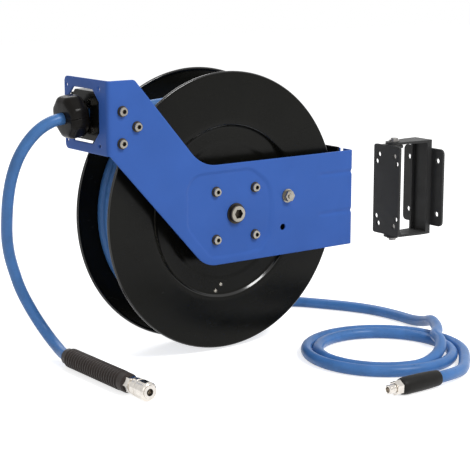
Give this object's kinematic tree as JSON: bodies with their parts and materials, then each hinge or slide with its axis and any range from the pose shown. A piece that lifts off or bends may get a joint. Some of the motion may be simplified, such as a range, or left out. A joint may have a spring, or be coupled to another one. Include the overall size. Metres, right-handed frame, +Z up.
{
  "type": "spring rewind air hose reel",
  "caption": "Spring-rewind air hose reel with a bent sheet arm, roller hose guide, wound hose with a quick coupler, a coiled inlet hose and a swivelling wall bracket.",
  "frame": {"origin": "centre of the four wall bolts, on the wall plate's back face", "axes": "+X into the wall, +Z up; the reel stands out towards -X and its drum turns about a line along Y"},
  "size_m": [0.7555, 0.5108, 0.423],
  "materials": {
    "painted_blue": "gloss powder coat",
    "painted_black": "gloss powder coat",
    "painted_charcoal": "satin powder coat",
    "zinc": "zinc plated",
    "coupler_steel": "nickel plated",
    "brass": "plain turned",
    "hose": "smooth",
    "grip_rubber": "ribbed satin",
    "seal_rubber": "plain",
    "roller_plastic": "plain",
    "stopper_plastic": "moulded",
    "washer_plastic": "plain",
    "spring_steel": "oiled"
  },
  "bodies": {
    "wall_bracket": {"wall_plate": "painted_charcoal", "wall_strip": "painted_charcoal", "pivot_pin": "zinc", "pin_clips": "spring_steel", "swivel_washers": "washer_plastic"},
    "reel": {"swing_plate": "painted_charcoal", "arm_frame": "painted_blue", "rear_support": "painted_black", "axle": "zinc", "axle_spacers": "zinc", "axle_nut": "zinc", "centre_bolt": "zinc", "hub_bolts": "zinc", "guide_bolts": "zinc", "pawl_bolt": "zinc", "pawl_spring": "spring_steel", "roller_cage": "painted_black", "cage_bolts": "zinc", "roller_pins": "zinc", "stopper_halves": "stopper_plastic", "stopper_screws": "zinc", "spring_arbor": "zinc", "swivel_seals": "seal_rubber", "hose_strand": "hose", "inlet_elbow": "brass", "outlet_hose": "hose", "hose_grip": "grip_rubber", "coupler_body": "coupler_steel", "inlet_hose": "hose", "inlet_coil": "hose", "inlet_sleeve": "grip_rubber", "inlet_fitting": "brass"},
    "drum": {"front_flange": "painted_black", "rear_flange": "painted_black", "drum_core": "painted_black", "front_hub": "zinc", "rear_hub": "zinc", "front_bush": "brass", "rear_bush": "brass", "ratchet": "zinc", "drum_bolts": "zinc", "spring_case": "painted_black", "spring_cover": "painted_black", "mainspring": "spring_steel", "swivel_body": "brass", "drum_outlet": "brass", "hose_pack": "hose"},
    "pawl": {"pawl": "zinc"},
    "roller_top": {"roller_top": "roller_plastic"},
    "roller_bottom": {"roller_bottom": "roller_plastic"},
    "roller_near": {"roller_near": "roller_plastic"},
    "roller_far": {"roller_far": "roller_plastic"},
    "release_sleeve": {"coupler_sleeve": "coupler_steel"}
  },
  "joints": [
    {"name": "bracket_swing", "type": "hinge", "parent": "wall_bracket", "child": "reel", "pos_m": [-0.071, 0, 0], "axis": [0, 0, 1], "range_deg": [-60, 60]},
    {"name": "drum_spin", "type": "hinge", "parent": "reel", "child": "drum", "pos_m": [-0.43, 0, 0.006], "axis": [0, 1, 0], "continuous": true},
    {"name": "pawl_swing", "type": "hinge", "parent": "reel", "child": "pawl", "pos_m": [-0.333, 0, 0.023], "axis": [0, 1, 0], "range_deg": [0, 16], "stiffness_Nm_per_rad": 0.05},
    {"name": "roller_near_spin", "type": "hinge", "parent": "reel", "child": "roller_near", "pos_m": [-0.634, 0.00235, 0.1625], "axis": [0, 0, 1], "continuous": true},
    {"name": "roller_far_spin", "type": "hinge", "parent": "reel", "child": "roller_far", "pos_m": [-0.634, 0.04035, 0.1625], "axis": [0, 0, 1], "continuous": true},
    {"name": "roller_top_spin", "type": "hinge", "parent": "reel", "child": "roller_top", "pos_m": [-0.6155, 0, 0.1815], "axis": [0, 1, 0], "continuous": true},
    {"name": "roller_bottom_spin", "type": "hinge", "parent": "reel", "child": "roller_bottom", "pos_m": [-0.6155, 0, 0.1435], "axis": [0, 1, 0], "continuous": true},
    {"name": "sleeve_slide", "type": "slide", "parent": "reel", "child": "release_sleeve", "axis": [0, 1, 0], "range_m": [0, 0.004], "stiffness_N_per_m": 800, "springref_m": -0.002}
  ]
}
